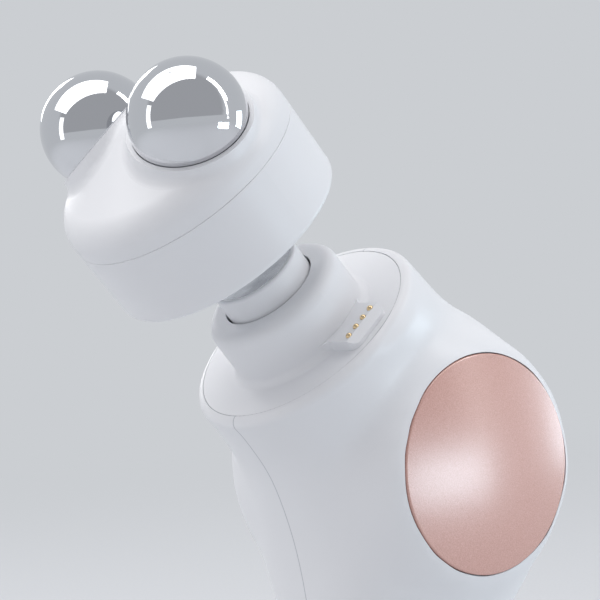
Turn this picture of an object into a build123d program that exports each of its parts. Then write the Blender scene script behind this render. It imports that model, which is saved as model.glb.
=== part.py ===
"""Handheld facial toning device with a lift-off two-ball head, millimetres.

Origin: centre of the base face. +Z up the handle, -Y the throat side that the head leans
towards, +X the right-hand shell. Lengths along the head axis are called heights and are
measured from the flat face of the collar.
"""
from build123d import *

from math import cos, pi, radians, sin, sqrt, tan
import os

os.makedirs("parts", exist_ok=True)

# --- Driving dimensions -------------------------------------------------------------------
head_tilt = 38.0            # lean of the head axis from the vertical, towards the throat
collar_height = 124.5       # collar centre above the base
collar_reach = 15.0         # collar centre in front of the handle's middle
collar_radius = 27.9
collar_rim_round = 2.0
parting_round = 0.2         # edges where two mouldings meet in a visible line
face_radius = 25.7          # flat face plate inside the collar rim
face_thickness = 2.2
wall = 2.2                  # moulded shells
open_run = 80.0             # cuts that leave the body run on this far
bulge_depth = 40.6          # motor housing's centre, down the head axis
bulge_radius = 35.5         # back outline round the motor housing
disc_radius = 24.0          # metal discs on the cheeks
disc_plane = 29.0           # rim of each disc from the seam plane
disc_crown = 2.4            # how far each disc's middle stands out of its rim
disc_thickness = 2.0
disc_gap = 0.25
pad_thickness = 0.5
recess_floor = 1.8
lens_blend = 9.0            # cheek's swell fades out over this width round a disc
lens_slope = 0.45
handle_depth = 42.0
handle_width = 38.0
cap_height = 6.0            # base cap below the shells
cap_floor = 3.5
cap_edge_round = 2.4
cap_lip_height = 2.0
cap_lip_wall = 1.5
foot_proud = 0.5            # base pad stands this far below the base cap
foot_thickness = 1.5
foot_margin = 5.0

neck_foot_radius = 16.3     # neck in the middle of the collar face
neck_top_radius = 16.2
neck_height = 13.0
neck_crown_round = 3.0
neck_foot_round = 1.8       # hollow curve between the neck and the face
well_floor = 9.0            # bottom of the well that the puck dips into
floor_web = 2.0             # thickness of that bottom
puck_radius = 10.5
puck_bottom = 11.0
puck_top = 18.8
puck_edge_round = 0.8
puck_foot_round = 0.6
puck_gap = 0.5
stroke = 1.5                # percussion either side of rest
shaft_radius = 3.0
shaft_grip = 4.0            # length of the shaft's end held in the puck
bush_clearance = 0.05
bush_radius = 5.0
bush_length = 21.0
bush_boss_wall = 2.5
fit_gap = 0.02              # parts of one body that fill a round seat
puck_plate_radius = 9.6
magnet_radius = 7.0
magnet_height = 2.0
magnet_setback = 0.2

pin_pitch = 2.77
pin_count = 4
pin_radius = 0.7
pin_round = 0.6             # domed tips
pin_proud = 0.6
pin_offset = 21.5           # row of contact pins from the head axis
pin_travel = 0.4
pin_slack = 0.05
pin_length = 8.0
block_height = 2.5
block_width = 12.0
block_root_width = 16.0     # its sides spread to this where they reach the neck
block_root_blend = 2.5
block_reach = 23.8
block_slope = 1.6
block_corner = 2.0
pin_board_depth = 4.0
pin_board_width = 3.4

head_lift = 28.6            # head stands off the collar face by this much
head_radius = 27.2
skirt_height = 17.3
skirt_wall = 2.3
skirt_foot_round = 1.3
skirt_taper = 0.25
skirt_floor = 2.4
floor_hole_radius = 19.4
cup_wall = 1.4
cup_waist = 9.8
cup_throat = 16.8           # socket's inside radius above its taper
cup_shelf = 13.6
cup_roof = 20.9             # inside, over the puck
roof_thickness = 1.1
puck_room = 1.5
seat_clearance = 0.6
ball_radius = 12.5
ball_offset = 15.58
ball_height = 31.9          # ball centre above the head's underside
ball_tilt = 24.0
rim_drop = 1.86             # socket rim below the ball centre, along the ball's axis
lip_width = 1.0
lip_flare = 16.0
lip_length = 8.0
lip_blend = 3.0             # hollow curve between a lip and the dome
ball_flat = 6.5             # ball's flat underside below its centre
ball_clearance = 0.15
ball_cup_wall = 1.5
ball_seat_thickness = 1.6
ball_screw_reach = 6.0
seal_inner = 12.3
seal_width = 0.8
seal_drop = 0.5
shoulder_height = 24.0      # where the side's line meets the cone's
shoulder_round = 7.0
dome_slope = 24.5
dome_crest = 34.6
crest_round = 8.0
dome_wall = 2.2
plug_depth = 3.5
plug_wall = 1.7
plug_gap = 0.2
head_screw_ring = 22.2
head_screw_reach = 8.0
boss_trim = 0.7             # head's screw bosses are this much slimmer than the shells'
pad_board_thickness = 1.6
pad_board_offset = 21.1
pad_board_width = 3.6
pad_board_length = 14.8
contact_pad_radius = 0.9
contact_pad_height = 0.65

motor_radius = 14.5
motor_length = 13.0
motor_pilot_radius = 5.0
motor_screw_ring = 9.0
motor_screw_angles = (15.0, 135.0, 255.0)
motor_shaft_radius = 1.5
motor_edge_round = 0.8
motor_pilot_height = 1.5
motor_end = 0.5             # thickness of the can's closed end
motor_screw_grip = 4.0
frame_thickness = 2.5
frame_plane = -7.0          # face of the drive frame that the crank runs beside
frame_radius = 16.8
ear_radius = 4.0
crank_throw = 1.5
crank_radius = 8.0
crank_hub_radius = 4.0
crank_thickness = 3.5
crank_web = 1.2
crank_pin_radius = 1.2
roller_radius = 2.0
roller_length = 4.8
yoke_thickness = 5.0
yoke_wall = 2.6
yoke_corner = 1.0
running_gap = 0.4
boss_ring = 19.0            # shell screws sit behind the discs, on this radius
boss_angles = (75.0, 195.0, 315.0)
boss_radius = 3.0
screw_reach = 8.0           # shell screws' grip in the right shell

battery_radius = 9.2
battery_length = 65.0
battery_bottom = 8.4
battery_setback = 8.0       # battery's axis in front of the handle's middle
cradle_half_width = 10.8
cradle_back = 4.2
cradle_end = 1.4
cradle_slack = 0.15
cradle_toe = 4.0            # screwed block's reach in front of the cradle's sides
rib_heights = (20.0, 60.0)
rib_thickness = 1.6
rib_depth = 16.0
rib_setback = 6.0
board_front = 9.0           # front face of the main board, behind the handle's middle
board_thickness = 1.6
board_width = 24.0
board_bottom = 10.0
board_top = 70.0
post_radius = 2.2
post_spread = 9.5
post_heights = (16.0, 64.0)
board_screw_length = 6.0
base_screw_spread = 6.0
base_screw_setback = 6.0
base_screw_length = 6.0
screw_radius = 1.25
screw_clearance = 0.15
screw_head_radius = 2.2
screw_head_height = 1.5
screw_tip_room = 1.0        # blind holes run on this far past a screw

button_width = 9.0
pill_length = 17.0
button_travel = 0.7
button_gap = 0.25
button_proud = 0.6
button_flange = 1.0
plunger_radius = 1.5
plunger_slack = 0.1
switch_width = 6.0
switch_height = 3.4
switch_cap_radius = 1.7
switch_cap_height = 0.6
guide_radius = 0.8
guide_pitch = 2.4
guide_length = 4.0
socket_height = 12.0        # charging socket above the base
socket_width = 9.0
socket_tall = 3.2
socket_skin = 0.3
socket_depth = 7.4
socket_gap = 0.2
socket_base = 3.0
tongue_width = 6.6
tongue_thickness = 0.7
tongue_setback = 1.0

# --- Frames and shared places -----------------------------------------------------------
tilt = radians(head_tilt)
head_axis = Vector(0, -sin(tilt), cos(tilt))
head_back = Vector(0, cos(tilt), sin(tilt))
collar_centre = Vector(0, -collar_reach, collar_height)
bulge_centre = collar_centre - head_axis * bulge_depth


def across_head(height):
    """Plane square to the head axis, its local y towards the back."""
    return Plane(collar_centre + head_axis * height, x_dir=(1, 0, 0), z_dir=head_axis)


def along_head(height=0.0):
    """Plane through the head axis and X: local x is a radius, local y a height."""
    return Plane(collar_centre + head_axis * height, x_dir=(1, 0, 0), z_dir=-head_back)


def across_x(offset, centre=bulge_centre):
    """Plane square to X at an offset: local x is the world's Y, local y its Z."""
    return Plane(Vector(offset, centre.Y, centre.Z), x_dir=(0, 1, 0), z_dir=(1, 0, 0))


turn_axis = Axis(collar_centre, head_axis)
disc_axis = Axis(bulge_centre, (1, 0, 0))
beside_disc = Plane(bulge_centre, x_dir=(0, 1, 0), z_dir=(0, 0, -1))
seam_plane = Plane.YZ


def save(part, name):
    part.part.label = name
    export_step(part.part, f"parts/{name}.step")


# --- Body form ----------------------------------------------------------------------------
# The body is drawn as closed sections from the collar down to the base. Each runs from a
# point on the throat to a point on the back, both in the seam plane, and is a superellipse.
base_half_depth = handle_depth / 2
base_half_width = handle_width / 2


def from_collar(back, down):
    return Vector(0, collar_centre.Y + back, collar_centre.Z - down)


def from_bulge(reach, angle):
    turn = radians(angle)
    return bulge_centre + Vector(0, cos(turn), sin(turn)) * reach


# throat point, back point, half width, squareness of the throat side, of the back side
stations = [
    (collar_centre - head_back * collar_radius, collar_centre + head_back * collar_radius,
     collar_radius, 2.0, 2.0),
    (from_collar(-18.0, 21.5), from_bulge(bulge_radius + 2.5, 78), 26.4, 2.15, 2.3),
    (from_collar(-12.4, 30.0), from_bulge(bulge_radius, 56), 26.0, 2.35, 2.5),
    (from_collar(-8.6, 40.5), from_bulge(bulge_radius - 1.0, 33), 28.5, 2.5, 2.55),
    (from_collar(-6.3, 51.5), from_bulge(bulge_radius, 0), 28.2, 2.65, 2.55),
    (from_collar(-5.2, 64.0), from_bulge(bulge_radius + 2.3, -37), 24.6, 2.45, 2.4),
    (from_collar(-5.4, 77.0), from_bulge(bulge_radius + 8.5, -65), 20.8, 2.2, 2.2),
    (Vector(0, -base_half_depth, 24), Vector(0, base_half_depth + 1.5, 26),
     base_half_width, 2.2, 2.2),
    (Vector(0, -base_half_depth, cap_height), Vector(0, base_half_depth, cap_height),
     base_half_width, 2.2, 2.2),
]
section_points = 36
section_start = 0.125       # each outline starts between the cheek and the back
sections_per_station = 3
disc_recess = disc_thickness + pad_thickness


def between(row, t, column):
    """Smooth curve through one column of the stations, a share t past a row."""
    last = len(stations) - 1
    before, here, after, beyond = (
        stations[min(max(row + step, 0), last)][column] for step in (-1, 0, 1, 2)
    )
    return (here * 2 + (after - before) * t
            + (before * 2 - here * 5 + after * 4 - beyond) * t * t
            + (here * 3 - before - after * 3 + beyond) * t * t * t) * 0.5


def lens_share(distance):
    """1 at a disc's rim and inside it, fading to 0 where the cheek's swell ends."""
    share = (disc_radius + lens_blend - distance) / (lens_blend - disc_gap)
    share = min(max(share, 0.0), 1.0)
    return share * share * (3 - 2 * share)


def body_section(row, part_row, inset):
    """Plane and outline of the body's section, drawn in by an inset."""
    throat, back, half_width, throat_power, back_power = (
        between(row, part_row, column) for column in range(5)
    )
    run = (back - throat).normalized()
    plane = Plane(throat, x_dir=run, z_dir=run.cross(Vector(1, 0, 0)))
    half_depth = (back - throat).length / 2
    lens_plane = disc_plane if inset <= 0 else disc_plane - disc_recess - recess_floor
    outline = []
    for step in range(section_points):
        turn = 2 * pi * (step / section_points + section_start)
        power = back_power if cos(turn) > 0 else throat_power
        depth = (half_depth - inset) * abs(cos(turn)) ** (2 / power)
        depth = half_depth + (depth if cos(turn) > 0 else -depth)
        width = (half_width - inset) * abs(sin(turn)) ** (2 / power)
        distance = (throat + run * depth - bulge_centre).length
        share = lens_share(distance + max(inset, 0.0))
        lens = lens_plane - max(distance - disc_radius, 0.0) * lens_slope - min(inset, 0.0)
        width = width * (1 - share) + lens * share
        outline.append((depth, width if sin(turn) > 0 else -width))
    return plane, outline


def closed_curve(outline):
    """Adds a closed curve through evenly spaced parameters, so that sections match."""
    steps = [step / section_points for step in range(section_points + 1)]
    add(Edge.make_spline([Vector(*point) for point in outline], periodic=True,
                         parameters=steps))


def body_form(inset=0.0):
    """Solid of the body's outer form, or of its hollow when drawn in by a wall."""
    last = len(stations) - 1
    with BuildPart() as form:
        for count in range(last * sections_per_station + 1):
            row = min(count // sections_per_station, last - 1)
            part_row = count / sections_per_station - row
            plane, outline = body_section(row, part_row, inset)
            with BuildSketch(plane):
                with BuildLine():
                    closed_curve(outline)
                make_face()
        loft()
    return form.part


# --- Shared places ------------------------------------------------------------------------
body_outside = body_form()
body_inside = split(body_form(wall), across_head(-face_thickness), keep=Keep.BOTTOM)
body_proud = body_form(-button_proud)
plate_seat = face_radius + fit_gap
recess_plane = disc_plane - disc_recess
boss_root = recess_plane - recess_floor / 2
frame_back = frame_plane - frame_thickness
motor_back = frame_back - motor_length
crank_back = frame_plane + running_gap
crank_face = crank_back + crank_thickness
bush_top = well_floor - floor_web
bush_bottom = bush_top - bush_length
window_across = crank_throw + roller_radius + running_gap
window_along = stroke + crank_throw + roller_radius + running_gap
cradle_bottom = foot_proud + cap_floor
battery_top = battery_bottom + battery_length
board_back = board_front + board_thickness
switch_top = board_back + switch_height + switch_cap_height
screw_hole_radius = screw_radius + screw_clearance
pilot_radius = screw_radius + fit_gap
boss_places = [(cos(radians(angle)) * boss_ring, sin(radians(angle)) * boss_ring)
               for angle in boss_angles]
motor_screw_places = [(cos(radians(angle)) * motor_screw_ring,
                       sin(radians(angle)) * motor_screw_ring) for angle in motor_screw_angles]
post_places = [(side * post_spread, height) for side in (-1, 1) for height in post_heights]
base_screw_places = [(side * base_screw_spread, -base_screw_setback) for side in (-1, 1)]
button_places = [("percussion_button", 50.0, pill_length), ("ring_button", 34.0, button_width),
                 ("power_button", 21.0, button_width)]
guide_centre = button_places[0][1] + pill_length / 2 + 2 * guide_pitch
pin_places = [(pin_offset, (count - (pin_count - 1) / 2) * pin_pitch)
              for count in range(pin_count)]


def profile(*corners):
    """Adds a closed outline to the open sketch; a corner's third number rounds it."""
    with BuildSketch(Plane.XY) as shape:
        with BuildLine():
            FilletPolyline(
                [corner[:2] for corner in corners],
                radius=[corner[2] if len(corner) > 2 else 0 for corner in corners],
                close=True,
            )
        make_face()
    add(shape.sketch)


def pill(length, grow=0.0):
    """Adds an upright slot outline, or a circle where the button is as long as wide."""
    if length > button_width:
        SlotOverall(length + 2 * grow, button_width + 2 * grow, rotation=90)
    else:
        Circle(button_width / 2 + grow)


def bars(plane, places, radius, length, mode=Mode.ADD):
    """Adds or cuts round bars square to a plane, one at each place on it."""
    with BuildSketch(plane) as ends:
        with Locations(*places):
            Circle(radius)
    extrude(ends.sketch, amount=length, mode=mode)


def base_slab(inset, bottom, top, mode=Mode.ADD):
    """Adds or cuts a level slab with the base's outline, drawn in by an inset."""
    plane, outline = body_section(len(stations) - 2, 1.0, inset)
    with BuildSketch(plane.offset(cap_height - top)) as slab:
        with BuildLine():
            closed_curve(outline)
        make_face()
    extrude(slab.sketch, amount=top - bottom, mode=mode)


def facing_back(height, depth=0.0):
    """Plane square to Y at a depth behind the handle's middle; local y is up."""
    return Plane((0, depth, height), x_dir=(-1, 0, 0), z_dir=(0, 1, 0))


def back_reach(form, height, aside=0.0):
    """How far back a form reaches at a height, beside the seam plane."""
    ray = Edge.make_line((aside, 0, height), (aside, open_run, height))
    return (ray & form).bounding_box().max.Y


# --- Shells -------------------------------------------------------------------------------
# Two mouldings that meet in the seam plane, with ribs that hold the battery's cradle. The
# discs sit in round recesses on the cheeks.
with BuildPart() as shell_hollow:
    add(body_inside)
    for height in rib_heights:
        with BuildSketch(Plane.XY.offset(height)):
            with Locations((0, -rib_setback)):
                Rectangle(open_run, rib_depth)
                Rectangle(2 * (cradle_half_width + cradle_slack), rib_depth, mode=Mode.SUBTRACT)
        extrude(amount=rib_thickness, mode=Mode.SUBTRACT)

with BuildPart() as body_shell:
    add(body_outside)
    fillet(edges().group_by(turn_axis)[-1], collar_rim_round)
    add(shell_hollow.part, mode=Mode.SUBTRACT)
    bars(across_head(-face_thickness), [(0, 0)], plate_seat, open_run, Mode.SUBTRACT)
    for side in (-1, 1):
        bars(across_x(side * recess_plane), [(0, 0)], disc_radius + disc_gap,
             side * open_run, Mode.SUBTRACT)
    for _, height, length in button_places:
        with BuildSketch(facing_back(height)):
            pill(length, button_gap)
        extrude(amount=open_run, mode=Mode.SUBTRACT)
    with BuildSketch(facing_back(socket_height)):
        SlotOverall(socket_width + 2 * socket_gap, socket_tall + 2 * socket_gap)
    extrude(amount=open_run, mode=Mode.SUBTRACT)
    with BuildSketch(facing_back(guide_centre)):
        with GridLocations(0, guide_pitch, 1, 3):
            Circle(guide_radius + fit_gap)
    extrude(amount=open_run, mode=Mode.SUBTRACT)

with BuildPart() as right_shell:
    add(split(body_shell.part, seam_plane, keep=Keep.TOP))
    bars(across_x(boss_root), boss_places, boss_radius, frame_plane - boss_root)
    bars(across_x(frame_plane), boss_places, pilot_radius, screw_reach + screw_tip_room,
         Mode.SUBTRACT)
save(right_shell, "right_shell")

with BuildPart() as left_shell:
    add(split(body_shell.part, seam_plane, keep=Keep.BOTTOM))
    bars(across_x(-boss_root), boss_places, boss_radius, frame_back + boss_root)
    bars(across_x(-recess_plane), boss_places, screw_hole_radius, recess_plane, Mode.SUBTRACT)
    bars(across_x(-recess_plane), boss_places, screw_head_radius + screw_clearance,
         screw_head_height, Mode.SUBTRACT)
save(left_shell, "left_shell")

# Three screws under the left disc clamp the drive frame between the shells' bosses.
with BuildPart() as shell_screws:
    bars(across_x(-recess_plane), boss_places, screw_head_radius, screw_head_height)
    bars(across_x(-recess_plane), boss_places, screw_radius,
         recess_plane + frame_plane + screw_reach)
save(shell_screws, "shell_screws")

# --- Discs --------------------------------------------------------------------------------
# Domed metal plates on the cheeks, each on a ring of adhesive foam in its recess.
disc_back = recess_plane + pad_thickness
with BuildPart() as right_disc:
    with BuildSketch(beside_disc):
        with BuildLine():
            RadiusArc((disc_radius, disc_plane), (0, disc_plane + disc_crown),
                      -(disc_radius ** 2 + disc_crown ** 2) / (2 * disc_crown))
            Polyline((0, disc_plane + disc_crown), (0, disc_back), (disc_radius, disc_back),
                     (disc_radius, disc_plane))
        make_face()
    revolve(axis=disc_axis)
save(right_disc, "right_disc")

with BuildPart() as left_disc:
    add(mirror(right_disc.part, about=seam_plane))
save(left_disc, "left_disc")

with BuildPart() as right_disc_pad:
    with BuildSketch(across_x(recess_plane)):
        Circle(disc_radius - disc_gap)
        Circle(boss_ring + screw_head_radius + disc_gap, mode=Mode.SUBTRACT)
    extrude(amount=pad_thickness)
save(right_disc_pad, "right_disc_pad")

with BuildPart() as left_disc_pad:
    add(mirror(right_disc_pad.part, about=seam_plane))
save(left_disc_pad, "left_disc_pad")

# --- Base ---------------------------------------------------------------------------------
# A cap plugs into the shells from below and is screwed to the battery's cradle. Its soft pad
# hides the screws.
with BuildPart() as base_cap:
    base_slab(0.0, foot_proud, cap_height)
    fillet(edges().group_by(Axis.Z)[0], cap_edge_round)
    fillet(edges().group_by(Axis.Z)[-1], parting_round)
    base_slab(wall + cradle_slack, cap_height, cap_height + cap_lip_height)
    base_slab(wall + cradle_slack + cap_lip_wall, cradle_bottom, cap_height + cap_lip_height,
              Mode.SUBTRACT)
    base_slab(foot_margin - fit_gap, foot_proud, foot_thickness, Mode.SUBTRACT)
    bars(Plane.XY.offset(foot_thickness), base_screw_places,
         screw_head_radius + screw_clearance, screw_head_height, Mode.SUBTRACT)
    bars(Plane.XY.offset(foot_thickness), base_screw_places, screw_hole_radius, cap_floor,
         Mode.SUBTRACT)
save(base_cap, "base_cap")

with BuildPart() as base_pad:
    base_slab(foot_margin, 0.0, foot_thickness)
save(base_pad, "base_pad")

with BuildPart() as base_screws:
    bars(Plane.XY.offset(foot_thickness), base_screw_places, screw_head_radius,
         screw_head_height)
    bars(Plane.XY.offset(foot_thickness), base_screw_places, screw_radius,
         base_screw_length)
save(base_screws, "base_screws")

# --- Battery, board and socket --------------------------------------------------------------
with BuildPart() as battery_cradle:
    with BuildSketch(Plane.XY.offset(cradle_bottom)):
        with Locations((0, cradle_back)):
            Rectangle(2 * cradle_half_width, cradle_back + battery_setback,
                      align=(Align.CENTER, Align.MAX))
    extrude(amount=battery_top + cradle_slack + cradle_end - cradle_bottom)
    with BuildSketch(Plane.XY.offset(cradle_bottom)):
        with Locations((0, -battery_setback)):
            Rectangle(2 * cradle_half_width, cradle_toe, align=(Align.CENTER, Align.MAX))
    extrude(amount=battery_bottom - cradle_bottom)
    bars(Plane.XY.offset(battery_bottom), [(0, -battery_setback)],
         battery_radius + cradle_slack, battery_length + cradle_slack, Mode.SUBTRACT)
    bars(Plane.XY.offset(cradle_bottom), base_screw_places, pilot_radius,
         battery_bottom - cradle_bottom, Mode.SUBTRACT)
    bars(facing_back(0, cradle_back), post_places, post_radius, board_front - cradle_back)
    bars(facing_back(0, board_front), post_places, pilot_radius, -board_screw_length,
         Mode.SUBTRACT)
save(battery_cradle, "battery_cradle")

with BuildPart() as battery_cell:
    bars(Plane.XY.offset(battery_bottom), [(0, -battery_setback)], battery_radius,
         battery_length)
save(battery_cell, "battery_cell")

with BuildPart() as main_board:
    with BuildSketch(facing_back(board_bottom, board_front)):
        Rectangle(board_width, board_top - board_bottom, align=(Align.CENTER, Align.MIN))
    extrude(amount=board_thickness)
    bars(facing_back(0, board_front), post_places, screw_hole_radius, board_thickness,
         Mode.SUBTRACT)
save(main_board, "main_board")

with BuildPart() as board_screws:
    bars(facing_back(0, board_back), post_places, screw_head_radius, screw_head_height)
    bars(facing_back(0, board_back), post_places, screw_radius, -board_screw_length)
save(board_screws, "board_screws")

with BuildPart() as tact_switches:
    for _, height, _ in button_places:
        with BuildSketch(facing_back(height, board_back)):
            Rectangle(switch_width, switch_width)
        extrude(amount=switch_height)
        with BuildSketch(facing_back(height, board_back + switch_height)):
            Circle(switch_cap_radius)
        extrude(amount=switch_cap_height)
save(tact_switches, "tact_switches")

with BuildPart() as socket_block:
    with BuildSketch(facing_back(socket_height, board_back)):
        Rectangle(socket_width, socket_tall)
    extrude(amount=socket_base)
    with BuildSketch(facing_back(socket_height, board_back + socket_base)):
        Rectangle(tongue_width, tongue_thickness)
    extrude(amount=socket_depth - tongue_setback)
save(socket_block, "socket_block")

with BuildPart() as charging_socket:
    with BuildSketch(facing_back(socket_height, board_back + socket_base)):
        SlotOverall(socket_width, socket_tall)
        SlotOverall(socket_width - 2 * socket_skin, socket_tall - 2 * socket_skin,
                    mode=Mode.SUBTRACT)
    extrude(amount=socket_depth)
save(charging_socket, "charging_socket")

with BuildPart() as light_guides:
    with BuildSketch(facing_back(guide_centre, back_reach(body_outside, guide_centre)
                                 - guide_length)):
        with GridLocations(0, guide_pitch, 1, 3):
            Circle(guide_radius)
    extrude(amount=open_run)
    add(body_outside, mode=Mode.INTERSECT)
save(light_guides, "light_guides")

# --- Buttons ------------------------------------------------------------------------------
# Each cap follows the back of the shell and stands a little proud of it. A flange keeps it
# in, and a plunger reaches its switch.
for name, height, length in button_places:
    flange_face = back_reach(body_inside, height - length / 2 - button_flange,
                             button_width / 2 + button_flange) - button_gap
    plunger_end = switch_top + button_travel + plunger_slack
    with BuildPart() as button:
        with BuildSketch(facing_back(height, flange_face)):
            pill(length)
        extrude(amount=open_run)
        add(body_proud, mode=Mode.INTERSECT)
        with BuildSketch(facing_back(height, flange_face)):
            pill(length, button_flange)
        extrude(amount=-button_flange)
        bars(facing_back(height, plunger_end), [(0, 0)], plunger_radius,
             flange_face - plunger_end)
    save(button, name)

# --- Collar face and neck -------------------------------------------------------------------
# One moulding: the flat face, the neck with the puck's well, the boss round the shaft's
# bushing and the block that carries the contact pins.
neck_inner = neck_top_radius - wall
block_side = block_width / 2
block_root = block_root_width / 2
block_waist = neck_inner + block_root - block_side
with BuildPart() as contact_block:
    with BuildSketch(across_head(0)):
        profile((neck_inner, -block_root), (block_waist, -block_side, block_root_blend),
                (block_reach, -block_side, block_corner),
                (block_reach, block_side, block_corner),
                (block_waist, block_side, block_root_blend), (neck_inner, block_root))
    extrude(amount=block_height)
    with BuildSketch(along_head()):
        profile((neck_inner, 0), (block_reach, 0),
                (block_reach, block_height - block_slope),
                (block_reach - block_slope, block_height), (neck_inner, block_height))
    extrude(amount=block_root, both=True, mode=Mode.INTERSECT)

with BuildPart() as head_plate:
    add(contact_block.part)
    with BuildSketch(along_head()):
        profile((bush_radius + fit_gap, bush_bottom),
                (bush_radius + fit_gap, bush_top),
                (shaft_radius + running_gap, bush_top),
                (shaft_radius + running_gap, well_floor),
                (puck_radius + puck_gap, well_floor),
                (puck_radius + puck_gap, neck_height),
                (neck_top_radius, neck_height, neck_crown_round),
                (neck_foot_radius, 0, neck_foot_round),
                (face_radius, 0, parting_round),
                (face_radius, -face_thickness),
                (neck_inner, -face_thickness),
                (neck_inner, bush_top),
                (bush_radius + bush_boss_wall, bush_top),
                (bush_radius + bush_boss_wall, bush_bottom))
    revolve(axis=turn_axis)
    bars(across_head(-face_thickness), pin_places, pin_radius + pin_slack,
         face_thickness + block_height, Mode.SUBTRACT)
save(head_plate, "head_plate")

with BuildPart() as shaft_bushing:
    with BuildSketch(across_head(bush_bottom)):
        Circle(bush_radius)
        Circle(shaft_radius + bush_clearance, mode=Mode.SUBTRACT)
    extrude(amount=bush_length)
save(shaft_bushing, "shaft_bushing")

pin_top = block_height + pin_proud
pin_bottom = pin_top - pin_length
with BuildPart() as pin_board:
    with BuildSketch(across_head(-face_thickness)):
        with Locations((pin_offset, 0)):
            Rectangle(pin_board_width, block_width)
    extrude(amount=-pin_board_depth)
    bars(across_head(-face_thickness), pin_places, pin_radius + pin_slack,
         pin_bottom - pin_travel - pin_slack + face_thickness, Mode.SUBTRACT)
save(pin_board, "pin_board")

with BuildPart() as contact_pins:
    bars(across_head(pin_bottom), pin_places, pin_radius, pin_length)
    fillet(edges().group_by(turn_axis)[-1], pin_round)
save(contact_pins, "contact_pins")

# --- Motor and percussion drive ---------------------------------------------------------------
# The motor turns a crank whose roller works in a yoke on the end of the drive shaft, so the
# puck in the neck taps up and down.
with BuildPart() as drive_frame:
    with BuildSketch(across_x(frame_back)):
        Circle(frame_radius)
        with Locations(*boss_places):
            Circle(ear_radius)
        Circle(motor_pilot_radius, mode=Mode.SUBTRACT)
        with Locations(*(boss_places + motor_screw_places)):
            Circle(screw_hole_radius, mode=Mode.SUBTRACT)
    extrude(amount=frame_thickness)
    bars(across_x(frame_plane), motor_screw_places, screw_head_radius + screw_clearance,
         -screw_head_height, Mode.SUBTRACT)
save(drive_frame, "drive_frame")

with BuildPart() as motor_can:
    bars(across_x(motor_back), [(0, 0)], motor_radius, motor_length)
    fillet(edges().group_by(Axis.X)[0], motor_edge_round)
    bars(across_x(frame_back), [(0, 0)], motor_pilot_radius - fit_gap, motor_pilot_height)
    bars(across_x(motor_back + motor_end), [(0, 0)], motor_shaft_radius + bush_clearance,
         motor_length + motor_pilot_height, Mode.SUBTRACT)
    bars(across_x(frame_back), motor_screw_places, pilot_radius, -motor_screw_grip,
         Mode.SUBTRACT)
save(motor_can, "motor_can")

with BuildPart() as motor_screws:
    bars(across_x(frame_plane), motor_screw_places, screw_head_radius, -screw_head_height)
    bars(across_x(frame_plane), motor_screw_places, screw_radius,
         -frame_thickness - motor_screw_grip)
save(motor_screws, "motor_screws")

with BuildPart() as motor_shaft:
    bars(across_x(motor_back + motor_end + running_gap), [(0, 0)], motor_shaft_radius,
         crank_face - crank_web - motor_back - motor_end - running_gap)
save(motor_shaft, "motor_shaft")

# The crank's half-round counterweight lies opposite its pin.
pin_place = (crank_throw * cos(tilt), crank_throw * sin(tilt))
with BuildPart() as crank_disc:
    with BuildSketch(across_x(crank_back)):
        Circle(crank_radius)
        Rectangle(crank_radius, 2 * crank_radius, rotation=head_tilt,
                  align=(Align.MIN, Align.CENTER), mode=Mode.SUBTRACT)
        Circle(crank_hub_radius)
    extrude(amount=crank_thickness)
    bars(across_x(crank_back), [(0, 0)], motor_shaft_radius + fit_gap,
         crank_thickness - crank_web, Mode.SUBTRACT)
    bars(across_x(crank_face), [pin_place], crank_pin_radius,
         yoke_thickness / 2 + running_gap - crank_face)
save(crank_disc, "crank_disc")

with BuildPart() as crank_roller:
    with BuildSketch(across_x(-roller_length / 2)):
        with Locations(pin_place):
            Circle(roller_radius)
            Circle(crank_pin_radius + bush_clearance, mode=Mode.SUBTRACT)
    extrude(amount=roller_length)
save(crank_roller, "crank_roller")

with BuildPart() as drive_shaft:
    with BuildSketch(across_x(-yoke_thickness / 2)):
        RectangleRounded(2 * (window_across + yoke_wall), 2 * (window_along + yoke_wall),
                         yoke_wall, rotation=head_tilt)
        RectangleRounded(2 * window_across, 2 * window_along, yoke_corner,
                         rotation=head_tilt, mode=Mode.SUBTRACT)
    extrude(amount=yoke_thickness)
    bars(across_head(window_along + yoke_wall / 2 - bulge_depth), [(0, 0)], shaft_radius,
         bulge_depth - window_along - yoke_wall / 2 + puck_bottom + shaft_grip)
save(drive_shaft, "drive_shaft")

magnet_bottom = puck_top - magnet_setback - magnet_height
with BuildPart() as drive_puck:
    with BuildSketch(along_head()):
        profile((shaft_radius + fit_gap, puck_bottom),
                (puck_radius, puck_bottom, puck_foot_round),
                (puck_radius, puck_top, puck_edge_round),
                (puck_plate_radius + fit_gap, puck_top),
                (puck_plate_radius + fit_gap, magnet_bottom),
                (0, magnet_bottom),
                (0, puck_bottom + shaft_grip),
                (shaft_radius + fit_gap, puck_bottom + shaft_grip))
    revolve(axis=turn_axis)
save(drive_puck, "drive_puck")

with BuildPart() as puck_magnet:
    bars(across_head(magnet_bottom), [(0, 0)], puck_plate_radius, magnet_height)
save(puck_magnet, "puck_magnet")

# --- Two-ball head ------------------------------------------------------------------------
# The head lifts off the neck. In this part heights are measured from the head's underside.
skirt_inner = head_radius - skirt_wall
flange_top = skirt_floor + cup_wall
plug_outer = skirt_inner - plug_gap
plug_inner = plug_outer - plug_wall
slope = tan(radians(dome_slope))
window_inner = neck_foot_radius - seat_clearance
window_outer = skirt_inner
head_screw_places = [(0, -head_screw_ring), (0, head_screw_ring)]


def across_skirt(height):
    """Plane square to the head axis at a height above the head's underside."""
    return across_head(head_lift + height)


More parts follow.
